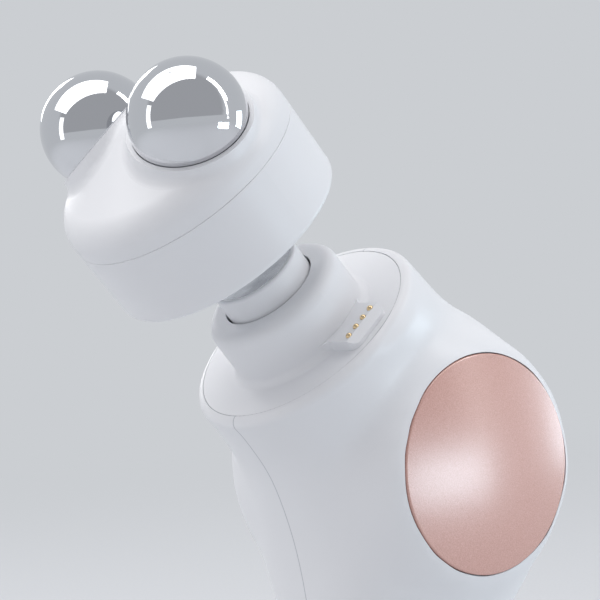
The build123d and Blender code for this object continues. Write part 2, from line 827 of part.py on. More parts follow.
def beside_ball(side):
    """Plane through a ball's centre: local x a radius, local y the ball's own axis."""
    lean = radians(ball_tilt) * side
    centre = collar_centre + head_axis * (head_lift + ball_height)
    return Plane(centre + Vector(side * ball_offset, 0, 0),
                 x_dir=Vector(cos(lean), 0, 0) - head_axis * sin(lean), z_dir=-head_back)


def across_ball(side, drop):
    """Plane square to a ball's axis, at a drop below its centre."""
    beside = beside_ball(side)
    return Plane(beside.origin - beside.y_dir * drop, x_dir=beside.x_dir, z_dir=beside.y_dir)


def turned_about_ball(side, corners, mode=Mode.ADD):
    """Adds or cuts a turned form round a ball's axis."""
    beside = beside_ball(side)
    with BuildSketch(beside) as shape:
        profile(*corners)
    revolve(shape.sketch, axis=Axis(beside.origin, beside.y_dir), mode=mode)


def ball_on_flat(side, radius, drop, mode=Mode.ADD):
    """Adds or cuts a ball with a flat at a drop below its centre."""
    beside = beside_ball(side)
    with BuildSketch(beside) as shape:
        with BuildLine():
            ThreePointArc((0, radius), (radius, 0), (sqrt(radius ** 2 - drop ** 2), -drop))
            Polyline((sqrt(radius ** 2 - drop ** 2), -drop), (0, -drop), (0, radius))
        make_face()
    revolve(shape.sketch, axis=Axis(beside.origin, beside.y_dir), mode=mode)


def contact_window():
    """Cuts the opening that the contact block enters, through skirt floor and cup flange."""
    with BuildSketch(across_skirt(0)) as window:
        with Locations(((window_inner + window_outer) / 2, 0)):
            Rectangle(window_outer - window_inner, block_width + 2 * seat_clearance)
    extrude(window.sketch, amount=flange_top, mode=Mode.SUBTRACT)


with BuildPart() as head_skirt:
    with BuildSketch(along_head(head_lift)):
        profile((floor_hole_radius, 0),
                (head_radius - skirt_taper, 0, skirt_foot_round),
                (head_radius, skirt_height, parting_round),
                (skirt_inner, skirt_height),
                (skirt_inner, skirt_floor),
                (floor_hole_radius, skirt_floor))
    revolve(axis=turn_axis)
    contact_window()
    bars(across_skirt(0), head_screw_places, screw_hole_radius, skirt_floor, Mode.SUBTRACT)
    bars(across_skirt(0), head_screw_places, screw_head_radius + screw_clearance,
         screw_head_height, Mode.SUBTRACT)
save(head_skirt, "head_skirt")

# The cup inside the skirt is the socket that the neck and puck fill. Its roof holds the
# magnet.
with BuildPart() as head_cup:
    with BuildSketch(along_head(head_lift)):
        profile((neck_foot_radius + seat_clearance, skirt_floor),
                (skirt_inner - fit_gap, skirt_floor),
                (skirt_inner - fit_gap, flange_top),
                (neck_foot_radius + seat_clearance + cup_wall, flange_top),
                (cup_throat + cup_wall, cup_waist),
                (cup_throat + cup_wall, cup_shelf + cup_wall),
                (puck_radius + puck_room + cup_wall, cup_shelf + cup_wall),
                (puck_radius + puck_room + cup_wall, cup_roof + roof_thickness),
                (magnet_radius + cup_wall, cup_roof + roof_thickness),
                (magnet_radius + cup_wall, cup_roof + roof_thickness + magnet_height),
                (magnet_radius + fit_gap, cup_roof + roof_thickness + magnet_height),
                (magnet_radius + fit_gap, cup_roof + roof_thickness),
                (0, cup_roof + roof_thickness),
                (0, cup_roof),
                (puck_radius + puck_room, cup_roof),
                (puck_radius + puck_room, cup_shelf),
                (cup_throat, cup_shelf),
                (cup_throat, cup_waist))
    revolve(axis=turn_axis)
    contact_window()
    bars(across_skirt(skirt_floor), head_screw_places, screw_hole_radius, cup_wall,
         Mode.SUBTRACT)
save(head_cup, "head_cup")

with BuildPart() as head_magnet:
    bars(across_skirt(cup_roof + roof_thickness), [(0, 0)], magnet_radius, magnet_height)
save(head_magnet, "head_magnet")

with BuildPart() as pad_board:
    with BuildSketch(across_skirt(flange_top)):
        with Locations((pad_board_offset, 0)):
            Rectangle(pad_board_width, pad_board_length)
    extrude(amount=pad_board_thickness)
save(pad_board, "pad_board")

with BuildPart() as contact_pads:
    bars(across_skirt(flange_top), pin_places, contact_pad_radius, -contact_pad_height)
save(contact_pads, "contact_pads")

# The dome is a cone with a rounded shoulder and a flared lip round each ball. Cups under the
# balls carry them on flat seats.
rim_radius = sqrt(ball_radius ** 2 - rim_drop ** 2) + ball_clearance + lip_width
crest_radius = head_radius - (dome_crest - shoulder_height) / slope
roof_drop = dome_wall / cos(radians(dome_slope))
hollow_corner = shoulder_height + (head_radius - plug_inner) * slope - roof_drop
with BuildPart() as dome_form:
    with BuildSketch(along_head(head_lift)):
        profile((0, skirt_height),
                (head_radius, skirt_height, parting_round),
                (head_radius, shoulder_height, shoulder_round),
                (crest_radius, dome_crest, crest_round),
                (0, dome_crest))
    revolve(axis=turn_axis)
    for side in (-1, 1):
        turned_about_ball(side, [
            (0, -rim_drop), (rim_radius, -rim_drop),
            (rim_radius + lip_length * tan(radians(lip_flare)), -rim_drop - lip_length),
            (0, -rim_drop - lip_length)])
    fillet(edges().filter_by(GeomType.BSPLINE), lip_blend)
    split(bisect_by=across_skirt(skirt_height), keep=Keep.TOP)

with BuildPart() as dome_hollow:
    with BuildSketch(along_head(head_lift)):
        profile((0, skirt_height),
                (plug_inner, skirt_height),
                (plug_inner, hollow_corner),
                (plug_inner - (dome_crest - dome_wall - hollow_corner) / slope,
                 dome_crest - dome_wall),
                (0, dome_crest - dome_wall))
    revolve(axis=turn_axis)
    for side in (-1, 1):
        ball_on_flat(side, ball_radius + ball_clearance + ball_cup_wall,
                     ball_flat + ball_seat_thickness, Mode.SUBTRACT)

with BuildPart() as head_dome:
    add(dome_form.part)
    add(dome_hollow.part, mode=Mode.SUBTRACT)
    for side in (-1, 1):
        ball_on_flat(side, ball_radius + ball_clearance, ball_flat, Mode.SUBTRACT)
        bars(across_ball(side, rim_drop + seal_drop), [(0, 0)],
             seal_inner + seal_width + fit_gap, -seal_width, Mode.SUBTRACT)
        bars(across_ball(side, ball_flat), [(0, 0)], screw_hole_radius,
             -ball_seat_thickness, Mode.SUBTRACT)
    with BuildSketch(across_skirt(skirt_height - plug_depth)):
        Circle(plug_outer)
        Circle(plug_inner, mode=Mode.SUBTRACT)
    extrude(amount=plug_depth)
    bars(across_skirt(flange_top), head_screw_places, boss_radius - boss_trim,
         hollow_corner + roof_drop / 2 - flange_top)
    bars(across_skirt(flange_top), head_screw_places, pilot_radius,
         head_screw_reach + screw_tip_room, Mode.SUBTRACT)
save(head_dome, "head_dome")

with BuildPart() as right_ball:
    ball_on_flat(1, ball_radius, ball_flat)
    bars(across_ball(1, ball_flat), [(0, 0)], pilot_radius, ball_screw_reach + fit_gap,
         Mode.SUBTRACT)
save(right_ball, "right_ball")

with BuildPart() as left_ball:
    add(mirror(right_ball.part, about=seam_plane))
save(left_ball, "left_ball")

with BuildPart() as ball_seals:
    for side in (-1, 1):
        with BuildSketch(across_ball(side, rim_drop + seal_drop)):
            Circle(seal_inner + seal_width)
            Circle(seal_inner, mode=Mode.SUBTRACT)
        extrude(amount=-seal_width)
save(ball_seals, "ball_seals")

with BuildPart() as ball_screws:
    for side in (-1, 1):
        bars(across_ball(side, ball_flat + ball_seat_thickness), [(0, 0)],
             screw_head_radius, -screw_head_height)
        bars(across_ball(side, ball_flat + ball_seat_thickness), [(0, 0)], screw_radius,
             ball_seat_thickness + ball_screw_reach)
save(ball_screws, "ball_screws")

with BuildPart() as head_screws:
    bars(across_skirt(0), head_screw_places, screw_head_radius, screw_head_height)
    bars(across_skirt(0), head_screw_places, screw_radius, flange_top + head_screw_reach)
save(head_screws, "head_screws")
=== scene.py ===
import bpy
from math import cos, pi, radians, sin, sqrt
from mathutils import Euler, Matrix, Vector


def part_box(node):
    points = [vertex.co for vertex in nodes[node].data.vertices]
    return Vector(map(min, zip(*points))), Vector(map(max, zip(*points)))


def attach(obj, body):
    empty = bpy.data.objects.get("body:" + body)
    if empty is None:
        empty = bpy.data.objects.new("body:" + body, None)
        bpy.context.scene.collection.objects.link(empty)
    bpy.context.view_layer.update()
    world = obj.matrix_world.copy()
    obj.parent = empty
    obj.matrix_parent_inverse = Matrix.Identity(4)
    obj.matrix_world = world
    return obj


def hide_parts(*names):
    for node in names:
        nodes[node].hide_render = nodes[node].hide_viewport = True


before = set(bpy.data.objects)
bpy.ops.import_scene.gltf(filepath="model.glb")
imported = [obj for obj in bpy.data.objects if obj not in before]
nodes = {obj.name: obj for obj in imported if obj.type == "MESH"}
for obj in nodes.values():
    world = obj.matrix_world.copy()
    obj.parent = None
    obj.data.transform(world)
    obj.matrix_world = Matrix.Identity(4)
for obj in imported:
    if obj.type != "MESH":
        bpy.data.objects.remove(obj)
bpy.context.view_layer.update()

bpy.ops.object.select_all(action="DESELECT")

# --- Camera -----------------------------------------------------------------------------
# A long lens looks level at the collar from the throat side, a little tilted, so that the
# lifted head, the neck with its pins and the right cheek's disc all face it.
camera_data = bpy.data.cameras.new("camera")
camera_data.sensor_width = 36
camera_data.lens = 144
camera_data.clip_start = 0.01
camera = bpy.data.objects.new("camera", camera_data)
camera.location = (0.4021, -0.3493, 0.1576)
camera.rotation_euler = Euler((radians(87.12), radians(5.4), radians(49.93)))
bpy.context.scene.collection.objects.link(camera)
bpy.context.scene.camera = camera

# --- Studio -----------------------------------------------------------------------------
# A sheet of pale paper runs far back and fades into an evenly lit surround. The wall behind
# the camera is darker, so that polished metal shows a horizon and the lamps against it.
surround = "#CBCED2"
wall = "#ADAFB3"
paper_size = 12
paper_fibre = 0.001111
fade_start, fade_end = 0.25, 0.9
wall_height = 0.30
wall_edge, wall_full = 0.20, 0.38
surround_light = 0.75

# A Mix node has sockets for each type of data, and these are the ones of its two colours
# and of the colour that it gives.
FIRST, SECOND, MIXED = 6, 7, 2


def srgb(code):
    """Linear colour of an sRGB hex code."""
    channels = [int(code[place:place + 2], 16) / 255 for place in (1, 3, 5)]
    return [c / 12.92 if c <= 0.04045 else ((c + 0.055) / 1.055) ** 2.4
            for c in channels] + [1.0]


def add_node(tree, kind, settings=None, links=None):
    """Adds a node, sets its properties and sockets, and links other nodes' outputs in."""
    node = tree.nodes.new(kind)
    for name, value in (settings or {}).items():
        if isinstance(name, str) and hasattr(node, name):
            setattr(node, name, value)
        else:
            node.inputs[name].default_value = value
    for name, output in (links or {}).items():
        tree.links.new(output, node.inputs[name])
    return node


def new_material(name):
    """An empty material: its tree, the object's coordinates and the surface to link to."""
    material = bpy.data.materials.new(name)
    material.use_nodes = True
    tree = material.node_tree
    tree.nodes.clear()
    spot = add_node(tree, "ShaderNodeTexCoord").outputs["Object"]
    return material, tree, spot, add_node(tree, "ShaderNodeOutputMaterial").inputs["Surface"]


def seen_rays(tree):
    """1 for what the camera sees, straight, mirrored or through a clear piece, else 0."""
    rays = add_node(tree, "ShaderNodeLightPath")
    seen = add_node(tree, "ShaderNodeMath", {"operation": "MAXIMUM"},
                    {0: rays.outputs["Is Camera Ray"], 1: rays.outputs["Is Glossy Ray"]})
    seen = add_node(tree, "ShaderNodeMath", {"operation": "MAXIMUM"},
                    {0: seen.outputs[0], 1: rays.outputs["Is Transmission Ray"]})
    return seen.outputs[0]


paper, tree, spot, surface = new_material("seamless_paper")
fibre = add_node(tree, "ShaderNodeTexNoise", {"Scale": 1 / paper_fibre, "Detail": 3.0},
                 {"Vector": spot})
tone = add_node(tree, "ShaderNodeMix", {"data_type": "RGBA", FIRST: srgb("#C6C9CD"),
                                        SECOND: srgb("#CFD2D5")},
                {"Factor": fibre.outputs["Fac"]})
sheet = add_node(tree, "ShaderNodeBsdfPrincipled", {"Roughness": 0.85},
                 {"Base Color": tone.outputs[MIXED]})
away = add_node(tree, "ShaderNodeVectorMath", {"operation": "LENGTH"}, {0: spot})
fade = add_node(tree, "ShaderNodeMapRange",
                {"interpolation_type": "SMOOTHSTEP", "From Min": fade_start,
                 "From Max": fade_end}, {"Value": away.outputs["Value"]})
fade = add_node(tree, "ShaderNodeMath", {"operation": "MULTIPLY"},
                {0: fade.outputs[0], 1: seen_rays(tree)})
far = add_node(tree, "ShaderNodeEmission", {"Color": srgb(surround), "Strength": 1.0})
both = add_node(tree, "ShaderNodeMixShader", {},
                {0: fade.outputs[0], 1: sheet.outputs["BSDF"], 2: far.outputs[0]})
tree.links.new(both.outputs[0], surface)

bpy.ops.mesh.primitive_plane_add(size=paper_size, location=(0, 0, 0))
floor = bpy.context.object
floor.name = "studio_floor"
floor.data.materials.append(paper)

to_camera = Vector((camera.location.x, camera.location.y, 0)).normalized()
world = bpy.data.worlds.new("studio_surround")
world.use_nodes = True
tree = world.node_tree
tree.nodes.clear()
direction = add_node(tree, "ShaderNodeTexCoord")
toward = add_node(tree, "ShaderNodeVectorMath",
                  {"operation": "DOT_PRODUCT", 1: to_camera + Vector((0, 0, wall_height))},
                  {0: direction.outputs["Generated"]})
rise = add_node(tree, "ShaderNodeMapRange",
                {"interpolation_type": "SMOOTHSTEP", "From Min": wall_edge,
                 "From Max": wall_full}, {"Value": toward.outputs["Value"]})
tone = add_node(tree, "ShaderNodeMix", {"data_type": "RGBA", FIRST: srgb(surround),
                                        SECOND: srgb(wall)}, {"Factor": rise.outputs[0]})
lit = add_node(tree, "ShaderNodeBackground",
               {"Color": srgb("#ECEBEE"), "Strength": surround_light})
shown = add_node(tree, "ShaderNodeBackground", {"Strength": 1.0},
                 {"Color": tone.outputs[MIXED]})
both = add_node(tree, "ShaderNodeMixShader", {},
                {0: seen_rays(tree), 1: lit.outputs[0], 2: shown.outputs[0]})
add_node(tree, "ShaderNodeOutputWorld", {}, {"Surface": both.outputs[0]})
bpy.context.scene.world = world
bpy.context.scene.view_settings.view_transform = "Standard"

# Two cool lamps stand low beside the right disc, and flags keep them off the paper, which
# they would burn out.
flagged_off = bpy.data.collections.new("floor_flagged_off")
flagged_off.objects.link(floor)
flagged_off.collection_objects[0].light_linking.link_state = "EXCLUDE"
device_middle = Vector((0, 0, 0.12))
cool_light = "#DDF3FF"


def soft_lamp(name, place, width, height, power, colour="#FFFFFF", flagged=False):
    """A rectangular soft box turned to the device; a flag can keep it off the floor."""
    data = bpy.data.lights.new(name, "AREA")
    data.shape = "RECTANGLE"
    data.size = width
    data.size_y = height
    data.energy = power
    data.color = srgb(colour)[:3]
    lamp = bpy.data.objects.new(name, data)
    lamp.location = place
    lamp.rotation_euler = (device_middle - Vector(place)).to_track_quat("-Z", "Y").to_euler()
    lamp.visible_camera = False
    if flagged:
        lamp.light_linking.receiver_collection = flagged_off
    bpy.context.scene.collection.objects.link(lamp)


soft_lamp("overhead_lamp", (-0.22, -0.32, 1.05), 0.7, 1.5, 7.0)
soft_lamp("left_strip", (-0.36, -0.86, 0.22), 0.15, 0.6, 0.44)
soft_lamp("right_strip", (0.66, 0.55, 0.38), 0.07, 0.7, 0.25)
soft_lamp("high_right_strip", (0.60, 0.60, 0.85), 0.15, 0.8, 2.2)
soft_lamp("back_lamp", (-0.90, 0.20, 0.50), 0.2, 0.45, 0.9)
soft_lamp("low_disc_lamp", (0.372, 0.190, 0.037), 0.19, 0.072, 0.215, cool_light,
          flagged=True)
soft_lamp("side_disc_lamp", (0.185, 0.59, 0.10), 0.2, 0.2, 0.54, cool_light, flagged=True)

# --- Shells -----------------------------------------------------------------------------
# Two injection-moulded ABS halves with a fine spark-eroded texture, which leaves a soft
# satin sheen with no sharp reflections. They meet in a fine parting line down the middle,
# whose shade is painted as a thin grey line in the YZ plane.
flow_cloud = 0.02857            # the plastic's tone drifts over this length
flow_shade = 0.96
spark_pit = 0.00025             # a real pit is near 0.05 mm, too fine to show
pit_depth = 0.00003
sheen_spread = 0.04
# Reach of the painted seam shade from the seam: full up to the first, gone by the second.
line_core, line_edge = 0.00006, 0.00018


def satin_plastic(name, colour, roughness, parting=False, rim=None,
                  seam_shadow_colour="#94979C"):
    """Moulded plastic with fine pits; painted seam shade in the YZ plane or at a round rim.
    """
    material, tree, spot, surface = new_material(name)
    cloud = add_node(tree, "ShaderNodeTexNoise", {"Scale": 1 / flow_cloud, "Detail": 2.0},
                     {"Vector": spot})
    pits = add_node(tree, "ShaderNodeTexNoise", {"Scale": 1 / spark_pit, "Detail": 3.0},
                    {"Vector": spot})
    base = srgb(colour)
    shade = [channel * flow_shade for channel in base[:3]] + [1.0]
    tone = add_node(tree, "ShaderNodeMix", {"data_type": "RGBA", FIRST: shade, SECOND: base},
                    {"Factor": cloud.outputs["Fac"]})
    colour_out = tone.outputs[MIXED]
    aside = None
    if parting:
        place = add_node(tree, "ShaderNodeSeparateXYZ", {}, {0: spot})
        aside = add_node(tree, "ShaderNodeMath", {"operation": "ABSOLUTE"},
                         {0: place.outputs["X"]})
    if rim:
        point, axis, radius = rim
        place = add_node(tree, "ShaderNodeVectorMath", {"operation": "SUBTRACT", 1: point},
                         {0: spot})
        across = add_node(tree, "ShaderNodeVectorMath",
                          {"operation": "CROSS_PRODUCT", 1: axis}, {0: place.outputs[0]})
        reach = add_node(tree, "ShaderNodeVectorMath", {"operation": "LENGTH"},
                         {0: across.outputs[0]})
        aside = add_node(tree, "ShaderNodeMath", {"operation": "SUBTRACT", 0: radius},
                         {1: reach.outputs["Value"]})
    # Painted shade of the seam: the colour turns to the line's grey near it.
    if aside:
        line = add_node(tree, "ShaderNodeMapRange",
                        {"From Min": line_core, "From Max": line_edge, "To Min": 1.0,
                         "To Max": 0.0}, {"Value": aside.outputs[0]})
        seam_shadowed = add_node(tree, "ShaderNodeMix",
                         {"data_type": "RGBA", SECOND: srgb(seam_shadow_colour)},
                         {"Factor": line.outputs[0], FIRST: colour_out})
        colour_out = seam_shadowed.outputs[MIXED]
    rough = add_node(tree, "ShaderNodeMapRange",
                     {"To Min": roughness - sheen_spread, "To Max": roughness + sheen_spread},
                     {"Value": pits.outputs["Fac"]})
    relief = add_node(tree, "ShaderNodeBump", {"Strength": 0.12, "Distance": pit_depth},
                      {"Height": pits.outputs["Fac"]})
    shader = add_node(tree, "ShaderNodeBsdfPrincipled", {"IOR": 1.5},
                      {"Base Color": colour_out, "Roughness": rough.outputs[0],
                       "Normal": relief.outputs[0]})
    tree.links.new(shader.outputs["BSDF"], surface)
    return material


def dress(material, *names):
    """Gives CAD nodes a material in place of their plain ones."""
    for name in names:
        for slot in nodes[name].material_slots:
            slot.material = material


device_white = "#E6E7EA"
# The parting line down the shells is painted shade, a pale grey.
dress(satin_plastic("white_abs_satin_shell", device_white, 0.36, parting=True,
                    seam_shadow_colour="#B6B9BF"),
      "right_shell", "left_shell")

# --- Screws -----------------------------------------------------------------------------
# Cold-headed steel screws with a thin zinc plating, which is a cool, slightly cloudy grey.
# They sit inside the casings, or where a disc, the base pad or the seated head covers them.
plating_spread = 0.3


def plated_metal(name, colour, shade, roughness, grain):
    """Metal in two near tones that drift over a grain size in metres."""
    material, tree, spot, surface = new_material(name)
    drift = add_node(tree, "ShaderNodeTexNoise", {"Scale": 1 / grain, "Detail": 4.0},
                     {"Vector": spot})
    tone = add_node(tree, "ShaderNodeMix",
                    {"data_type": "RGBA", FIRST: srgb(shade), SECOND: srgb(colour)},
                    {"Factor": drift.outputs["Fac"]})
    rough = add_node(tree, "ShaderNodeMapRange",
                     {"To Min": roughness * (1 - plating_spread),
                      "To Max": roughness * (1 + plating_spread)},
                     {"Value": drift.outputs["Fac"]})
    shader = add_node(tree, "ShaderNodeBsdfPrincipled", {"Metallic": 1.0},
                      {"Base Color": tone.outputs[MIXED], "Roughness": rough.outputs[0]})
    tree.links.new(shader.outputs["BSDF"], surface)
    return material


dress(plated_metal("zinc_plated_steel", "#C3C6CB", "#A9ACB0", 0.32, 0.0008),
      "shell_screws", "base_screws", "board_screws", "motor_screws", "ball_screws",
      "head_screws")

# --- Base cap and pad -------------------------------------------------------------------
# The cap is the shells' own ABS. The pad under it is moulded silicone, matt and a little
# dusty, with a fine anti-slip grain.
silicone_dust = 0.005556
slip_grain = 0.0004
slip_depth = 0.0001


def matt_silicone(name, colour, shade):
    """Soft matt rubber with a little dust and a fine grain."""
    material, tree, spot, surface = new_material(name)
    dust = add_node(tree, "ShaderNodeTexNoise", {"Scale": 1 / silicone_dust, "Detail": 6.0},
                    {"Vector": spot})
    grain = add_node(tree, "ShaderNodeTexVoronoi", {"Scale": 1 / slip_grain},
                     {"Vector": spot})
    tone = add_node(tree, "ShaderNodeMix",
                    {"data_type": "RGBA", FIRST: srgb(shade), SECOND: srgb(colour)},
                    {"Factor": dust.outputs["Fac"]})
    relief = add_node(tree, "ShaderNodeBump", {"Strength": 0.35, "Distance": slip_depth},
                      {"Height": grain.outputs["Distance"]})
    shader = add_node(tree, "ShaderNodeBsdfPrincipled",
                      {"Roughness": 0.75, "IOR": 1.41, "Sheen Weight": 0.2},
                      {"Base Color": tone.outputs[MIXED], "Normal": relief.outputs[0]})
    tree.links.new(shader.outputs["BSDF"], surface)
    return material


white_abs = satin_plastic("white_abs_satin", device_white, 0.36)
dress(white_abs, "base_cap")
dress(matt_silicone("grey_silicone", "#8C8F94", "#777A7F"), "base_pad")

# --- Battery and its cradle -------------------------------------------------------------
# A round lithium cell in glossy blue shrink wrap, with a white paper ring and a nickel
# terminal at its ends, lies in a black ABS cradle with a dull moulded grain.
paper_ring_radius = 0.0078
terminal_radius = 0.0052
end_skin = 0.0001
wrap_ripple = 0.004545
ripple_depth = 0.0002


def middle_of(low, high):
    """The middle of a box from its low and its high corner."""
    return [(a + b) / 2 for a, b in zip(low, high)]


dress(satin_plastic("black_abs_grained", "#26282B", 0.5), "battery_cradle")

cell_low, cell_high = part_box("battery_cell")
cell_half = (cell_high[2] - cell_low[2]) / 2
wrap, tree, spot, surface = new_material("blue_shrink_wrap")
place = add_node(tree, "ShaderNodeVectorMath",
                 {"operation": "SUBTRACT", 1: middle_of(cell_low, cell_high)}, {0: spot})
parts = add_node(tree, "ShaderNodeSeparateXYZ", {}, {0: place.outputs[0]})
flat = add_node(tree, "ShaderNodeCombineXYZ", {},
                {"X": parts.outputs["X"], "Y": parts.outputs["Y"]})
reach = add_node(tree, "ShaderNodeVectorMath", {"operation": "LENGTH"}, {0: flat.outputs[0]})
height = add_node(tree, "ShaderNodeMath", {"operation": "ABSOLUTE"}, {0: parts.outputs["Z"]})
at_end = add_node(tree, "ShaderNodeMath",
                  {"operation": "GREATER_THAN", 1: cell_half - end_skin},
                  {0: height.outputs[0]})
in_ring = add_node(tree, "ShaderNodeMath", {"operation": "LESS_THAN", 1: paper_ring_radius},
                   {0: reach.outputs["Value"]})
in_ring = add_node(tree, "ShaderNodeMath", {"operation": "MULTIPLY"},
                   {0: in_ring.outputs[0], 1: at_end.outputs[0]})
in_cap = add_node(tree, "ShaderNodeMath", {"operation": "LESS_THAN", 1: terminal_radius},
                  {0: reach.outputs["Value"]})
in_cap = add_node(tree, "ShaderNodeMath", {"operation": "MULTIPLY"},
                  {0: in_cap.outputs[0], 1: at_end.outputs[0]})
ripple = add_node(tree, "ShaderNodeTexNoise", {"Scale": 1 / wrap_ripple, "Detail": 2.0},
                  {"Vector": spot})
tone = add_node(tree, "ShaderNodeMix", {"data_type": "RGBA", FIRST: srgb("#33669A"),
                                        SECOND: srgb("#3D77AE")},
                {"Factor": ripple.outputs["Fac"]})
ringed = add_node(tree, "ShaderNodeMix", {"data_type": "RGBA", SECOND: srgb("#DADBDC")},
                  {"Factor": in_ring.outputs[0], FIRST: tone.outputs[MIXED]})
capped = add_node(tree, "ShaderNodeMix", {"data_type": "RGBA", SECOND: srgb("#B4B6B9")},
                  {"Factor": in_cap.outputs[0], FIRST: ringed.outputs[MIXED]})
relief = add_node(tree, "ShaderNodeBump", {"Strength": 0.2, "Distance": ripple_depth},
                  {"Height": ripple.outputs["Fac"]})
shader = add_node(tree, "ShaderNodeBsdfPrincipled", {"Roughness": 0.28, "IOR": 1.53},
                  {"Base Color": capped.outputs[MIXED], "Metallic": in_cap.outputs[0],
                   "Normal": relief.outputs[0]})
tree.links.new(shader.outputs["BSDF"], surface)
dress(wrap, "battery_cell")

# --- Circuit boards ---------------------------------------------------------------------
# Glass-fibre boards under glossy green solder mask. The copper tracks show as paler green
# lines a third of a millimetre wide, and the sawn edges are bare tan fibre.
track_cell = 0.005556
track_width = 0.000333
track_depth = 0.00004
half_turned = 0.5
sideways = (1, 0, 0)


def circuit_board(name, facing):
    """Green board whose tracks lie in the plane square to a direction."""
    material, tree, spot, surface = new_material(name)
    upward = Vector(facing).cross(Vector(sideways))
    across = add_node(tree, "ShaderNodeVectorMath",
                      {"operation": "DOT_PRODUCT", 1: sideways}, {0: spot})
    along = add_node(tree, "ShaderNodeVectorMath",
                     {"operation": "DOT_PRODUCT", 1: upward}, {0: spot})
    plan = add_node(tree, "ShaderNodeCombineXYZ", {},
                    {"X": across.outputs["Value"], "Y": along.outputs["Value"]})
    tracks = add_node(tree, "ShaderNodeTexBrick",
                      {"Scale": 1 / track_cell, "Mortar Size": track_width / track_cell / 2,
                       "offset": 0.35, "squash": 1.6, "Color1": srgb("#14502F"),
                       "Color2": srgb("#185A36"), "Mortar": srgb("#2E7A4B")},
                      {"Vector": plan.outputs[0]})
    normal = add_node(tree, "ShaderNodeNewGeometry")
    facing_share = add_node(tree, "ShaderNodeVectorMath",
                            {"operation": "DOT_PRODUCT", 1: facing},
                            {0: normal.outputs["Normal"]})
    level = add_node(tree, "ShaderNodeMath", {"operation": "ABSOLUTE"},
                     {0: facing_share.outputs["Value"]})
    on_edge = add_node(tree, "ShaderNodeMath", {"operation": "LESS_THAN", 1: half_turned},
                       {0: level.outputs[0]})
    tone = add_node(tree, "ShaderNodeMix", {"data_type": "RGBA", SECOND: srgb("#A89A68")},
                    {"Factor": on_edge.outputs[0], FIRST: tracks.outputs["Color"]})
    relief = add_node(tree, "ShaderNodeBump", {"Strength": 0.3, "Distance": track_depth},
                      {"Height": tracks.outputs["Fac"]})
    shader = add_node(tree, "ShaderNodeBsdfPrincipled", {"Roughness": 0.3, "IOR": 1.55},
                      {"Base Color": tone.outputs[MIXED], "Normal": relief.outputs[0]})
    tree.links.new(shader.outputs["BSDF"], surface)
    return material


head_lean = radians(38)
head_axis = Vector((0, -sin(head_lean), cos(head_lean)))
dress(circuit_board("green_solder_mask_upright", (0, 1, 0)), "main_board")
dress(circuit_board("green_solder_mask_leaning", head_axis), "pin_board", "pad_board")

# --- Switches and charging socket -------------------------------------------------------
# Each switch is a black moulded base under a lightly scuffed steel lid, with a black
# plunger. The socket is a drawn steel skin round a black block, whose tongue carries gold
# contacts.
lid_bottom, lid_top = 0.0135, 0.01405
lid_scuff = 0.001111
contact_pitch = 0.0005
contact_share = 0.55
tongue_start = 0.0137

switch_finish, tree, spot, surface = new_material("switch_lid_steel_and_black_plastic")
place = add_node(tree, "ShaderNodeSeparateXYZ", {}, {0: spot})
above = add_node(tree, "ShaderNodeMath", {"operation": "GREATER_THAN", 1: lid_bottom},
                 {0: place.outputs["Y"]})
below = add_node(tree, "ShaderNodeMath", {"operation": "LESS_THAN", 1: lid_top},
                 {0: place.outputs["Y"]})
lid = add_node(tree, "ShaderNodeMath", {"operation": "MULTIPLY"},
               {0: above.outputs[0], 1: below.outputs[0]})
scuff = add_node(tree, "ShaderNodeTexNoise", {"Scale": 1 / lid_scuff, "Detail": 3.0},
                 {"Vector": spot})
steel = add_node(tree, "ShaderNodeMix", {"data_type": "RGBA", FIRST: srgb("#A7A9AC"),
                                         SECOND: srgb("#C0C2C4")},
                 {"Factor": scuff.outputs["Fac"]})
tone = add_node(tree, "ShaderNodeMix", {"data_type": "RGBA", FIRST: srgb("#1D1E20")},
                {"Factor": lid.outputs[0], SECOND: steel.outputs[MIXED]})
rough = add_node(tree, "ShaderNodeMapRange", {"To Min": 0.25, "To Max": 0.45},
                 {"Value": scuff.outputs["Fac"]})
shader = add_node(tree, "ShaderNodeBsdfPrincipled", {"IOR": 1.5},
                  {"Base Color": tone.outputs[MIXED], "Metallic": lid.outputs[0],
                   "Roughness": rough.outputs[0]})
tree.links.new(shader.outputs["BSDF"], surface)
dress(switch_finish, "tact_switches")

contacts, tree, spot, surface = new_material("black_socket_block_gold_contacts")
place = add_node(tree, "ShaderNodeSeparateXYZ", {}, {0: spot})
step = add_node(tree, "ShaderNodeMath", {"operation": "DIVIDE", 1: contact_pitch},
                {0: place.outputs["X"]})
step = add_node(tree, "ShaderNodeMath", {"operation": "FRACT"}, {0: step.outputs[0]})
stripe = add_node(tree, "ShaderNodeMath", {"operation": "LESS_THAN", 1: contact_share},
                  {0: step.outputs[0]})
on_tongue = add_node(tree, "ShaderNodeMath", {"operation": "GREATER_THAN", 1: tongue_start},
                     {0: place.outputs["Y"]})
stripe = add_node(tree, "ShaderNodeMath", {"operation": "MULTIPLY"},
                  {0: stripe.outputs[0], 1: on_tongue.outputs[0]})
tone = add_node(tree, "ShaderNodeMix", {"data_type": "RGBA", FIRST: srgb("#1B1C1E"),
                                        SECOND: srgb("#D2AE68")},
                {"Factor": stripe.outputs[0]})
shader = add_node(tree, "ShaderNodeBsdfPrincipled", {"Roughness": 0.35, "IOR": 1.5},
                  {"Base Color": tone.outputs[MIXED], "Metallic": stripe.outputs[0]})
tree.links.new(shader.outputs["BSDF"], surface)
dress(contacts, "socket_block")
dress(plated_metal("drawn_stainless_steel", "#C6C7C9", "#AFB1B4", 0.28, 0.0004),
      "charging_socket")

# --- Light guides -----------------------------------------------------------------------
# Three short rods of frosted polycarbonate bring the board's lights to the back. The frost
# scatters what comes through, so that they look milky.
frost_grain = 0.001 / 3         # a real grain is too fine to show

